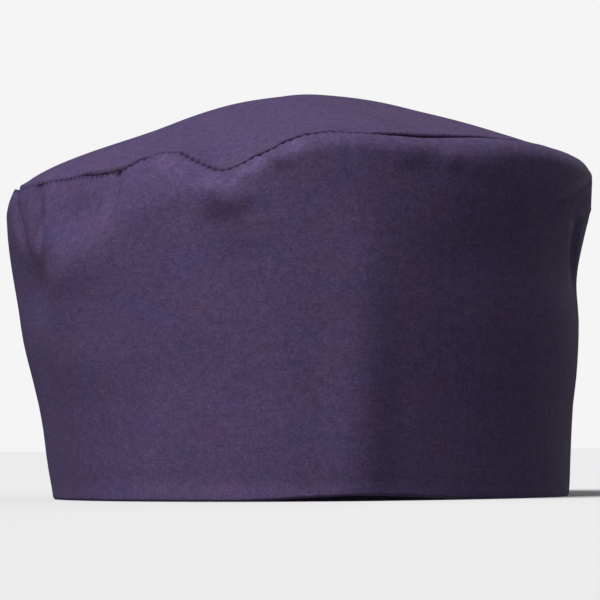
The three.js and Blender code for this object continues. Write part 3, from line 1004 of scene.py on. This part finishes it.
def cloth_material(name, lightness, seam_dimpled_and_shaded, with_painted_highlight=False):
    """Plain-woven matt cloth: its weave, uneven threads, soft mottling and the marks of the crown seam, with
    painted shade in its groove and, where asked, painted highlights below it.
    """
    nodes = Nodes(name)
    u, v, place = nodes.map_place("weave")
    height, warp_up = weave_height(nodes, u, v)
    warp_slubs = nodes.noise(nodes.scaled(place, (SLUB_ACROSS, SLUB_ALONG, 1)), 1)
    weft_slubs = nodes.noise(nodes.scaled(place, (SLUB_ALONG, SLUB_ACROSS, 1)), 1)
    grain = nodes.noise(place, GRAIN, 1.5)
    blotch = nodes.noise(place, BLOTCH, 2, 0.6)
    cloud = nodes.noise(place, CLOUD, 3)
    tone = nodes.line(grain, 0.9, 0.55)
    # Each texture's swing, and the tone where it is 0
    for texture, swing, least in (
        (blotch, 0.66, 0.67),
        (warp_slubs, 0.22, 0.89),
        (weft_slubs, 0.14, 0.93),
        (cloud, 0.24, 0.88),
        (height, 0.14, 0.93 * lightness),
    ):
        tone = nodes.times(tone, nodes.line(texture, swing, least))
    relief = nodes.line(height, WEAVE_DEEP, nodes.times(grain, GRAIN_DEEP))
    for slubs, deep in ((warp_slubs, WARP_SLUB_DEEP), (weft_slubs, WEFT_SLUB_DEEP)):
        relief = nodes.math("ADD", relief, nodes.times(slubs, deep))
    # The stitch dimples, and painted shade in the seam's groove.
    if seam_dimpled_and_shaded:
        along_seam, from_seam, seam_place = nodes.map_place("seam")
        tone, relief = seam_dimples_and_painted_shade(nodes, along_seam, from_seam, tone, relief)
    # Painted highlights: lighter spots on the swells below the front of the seam.
    if with_painted_highlight:
        spots = painted_highlight_spots(nodes, along_seam, from_seam, seam_place)
        tone = nodes.times(tone, nodes.line(spots, PAINTED_HIGHLIGHT_LIGHTER, 1))
    drift = nodes.math("SUBTRACT", nodes.noise(place, HUE, 4, 0.6), 0.5)
    threads = nodes.mixed(nodes.line(drift, HUE_SWING, warp_up), WEFT_COLOUR, WARP_COLOUR)
    coloured = nodes.add("ShaderNodeVectorMath", operation="SCALE")
    nodes.join(threads, coloured.inputs[0])
    nodes.join(tone, coloured.inputs["Scale"])
    nodes.join(coloured.outputs[0], nodes.shader.inputs["Base Color"])
    nodes.bumped(relief, MM)
    nodes.shader.inputs["Roughness"].default_value = 0.6
    nodes.shader.inputs["Specular IOR Level"].default_value = 0.05
    return nodes.material


# The sewing thread: its dark and light colours, the scale of its twist to a metre and how far that stands out
THREAD_DARK = (0.035, 0.024, 0.055)
THREAD_LIGHT = (0.06, 0.043, 0.09)
TWIST = 4000
TWIST_DEEP = 0.05 * MM


def thread_material():
    """Dark polyester thread with its twist."""
    nodes = Nodes("sewing thread")
    coordinates = nodes.add("ShaderNodeTexCoord")
    twist = nodes.noise(nodes.scaled(coordinates.outputs["Object"], (TWIST, TWIST, TWIST)), 1)
    colour = nodes.mixed(twist, THREAD_DARK, THREAD_LIGHT)
    nodes.join(colour, nodes.shader.inputs["Base Color"])
    nodes.bumped(twist, TWIST_DEEP)
    nodes.shader.inputs["Roughness"].default_value = 0.55
    return nodes.material


# The floor: half its side in metres, and the least and most of its pale grey
FLOOR_HALF = 30
FLOOR_GREYS = ((0.87, 0.87, 0.87), (0.89, 0.89, 0.89))


def floor_material():
    """Plain pale studio floor."""
    nodes = Nodes("pale floor")
    coordinates = nodes.add("ShaderNodeTexCoord")
    mottle = nodes.noise(coordinates.outputs["Object"], 3)
    nodes.join(nodes.mixed(mottle, *FLOOR_GREYS), nodes.shader.inputs["Base Color"])
    nodes.shader.inputs["Roughness"].default_value = 0.95
    nodes.shader.inputs["Specular IOR Level"].default_value = 0.0
    return nodes.material


def pale_floor():
    """The floor that the hat stands on."""
    mesh = bpy.data.meshes.new("floor")
    corners = [(x * FLOOR_HALF, y * FLOOR_HALF, 0) for x, y in ((-1, -1), (1, -1), (1, 1), (-1, 1))]
    mesh.from_pydata(corners, [], [(0, 1, 2, 3)])
    mesh.materials.append(floor_material())
    floor = bpy.data.objects.new("floor", mesh)
    bpy.context.scene.collection.objects.link(floor)
    # The floor throws no light up onto the hat, as none shows in the photograph.
    floor.visible_diffuse = floor.visible_glossy = False


# The light that comes from all round, and the background that the camera sees
FILL = (0.168, 0.167, 0.168)
BACKGROUND = (0.91, 0.91, 0.91)

# The camera: its distance and height in millimetres, and its focal length, its horizon's row and the column
# straight ahead of it in pixels of the 600 x 600 photograph
CAMERA_DISTANCE = 1200
CAMERA_HEIGHT = 15
CAMERA_PIXELS = 3944
IMAGE_PIXELS = 600
HORIZON_ROW = 448
MIDDLE_COLUMN = 299.3
CAMERA_ROLL = 0.35  # degrees
SENSOR = 36  # millimetres


def photo_camera():
    """The camera at the photograph's height and distance, pitched up to put the horizon on its row."""
    data = bpy.data.cameras.new("camera")
    data.sensor_width = SENSOR
    data.lens = CAMERA_PIXELS / IMAGE_PIXELS * SENSOR
    camera = bpy.data.objects.new("camera", data)
    middle = IMAGE_PIXELS / 2
    pitch = math.atan((HORIZON_ROW - middle) / CAMERA_PIXELS)
    yaw = math.atan((MIDDLE_COLUMN - middle) / CAMERA_PIXELS)
    level = Euler((math.pi / 2 + pitch, 0, yaw)).to_matrix()
    roll = Matrix.Rotation(math.radians(-CAMERA_ROLL), 3, "Z")
    camera.matrix_world = (level @ roll).to_4x4()
    camera.location = Vector((-CENTRE[0], -CAMERA_DISTANCE - CENTRE[1], CAMERA_HEIGHT)) * MM
    bpy.context.scene.collection.objects.link(camera)
    bpy.context.scene.camera = camera


def soft_sun(name, azimuth, elevation, spread, level):
    """An even light from one side, as soft as its spread in degrees. Level is the brightness of a white
    surface that faces it."""
    data = bpy.data.lights.new(name, "SUN")
    data.angle = math.radians(spread)
    data.energy = level * math.pi
    light = bpy.data.objects.new(name, data)
    turn, up = math.radians(azimuth), math.radians(elevation)
    way = Vector((math.sin(turn) * math.cos(up), -math.cos(turn) * math.cos(up), math.sin(up)))
    light.rotation_euler = way.to_track_quat("Z", "Y").to_euler()
    bpy.context.scene.collection.objects.link(light)


def studio_light():
    """A broad key from high on the front left, a weak rim from behind on the right and an even fill."""
    soft_sun("key light", azimuth=-35.5, elevation=50, spread=28, level=0.99)
    soft_sun("rim light", azimuth=142, elevation=20, spread=40, level=0.085)
    world = bpy.data.worlds.new("studio")
    bpy.context.scene.world = world
    world.use_nodes = True
    tree = world.node_tree
    background = tree.nodes["Background"]
    background.inputs["Strength"].default_value = 1
    path, mix = tree.nodes.new("ShaderNodeLightPath"), tree.nodes.new("ShaderNodeMix")
    mix.data_type = "RGBA"
    mix.inputs[6].default_value = (*FILL, 1)
    mix.inputs[7].default_value = (*BACKGROUND, 1)
    tree.links.new(path.outputs["Is Camera Ray"], mix.inputs["Factor"])
    tree.links.new(mix.outputs[2], background.inputs["Color"])


def build_hat():
    """All the pieces of the hat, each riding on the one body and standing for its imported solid."""
    outside = cloth_material("cloth outside", lightness=1.0, seam_dimpled_and_shaded=True)
    # The band's cloth has painted highlights on the swells below the front of the seam.
    with_painted_highlight = cloth_material("cloth outside, rubbed at the seam", lightness=1.0, seam_dimpled_and_shaded=True, with_painted_highlight=True)
    inside = cloth_material("cloth inside", lightness=1.08, seam_dimpled_and_shaded=False)
    thread = thread_material()
    tree = stitch_tree()
    crown, band = crown_cloth(outside), band_cloth(with_painted_highlight)
    hem, allowance = hem_cloth(inside), allowance_cloth(inside)
    sewn = [seam_stitches(tree, thread), hem_stitches(tree, thread), overlock_stitches(tree, thread)]
    for piece in (crown, band, hem, allowance, *sewn):
        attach(piece, "root")
    for piece, node, slot in (
        (crown, "crown", "cloth"),
        (band, "side_band", "cloth"),
        (hem, "hem", "hem_cloth"),
        (allowance, "seam_allowance", "allowance_cloth"),
    ):
        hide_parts(node)


bpy.context.scene.view_settings.view_transform = "Standard"
build_hat()
pale_floor()
studio_light()
photo_camera()
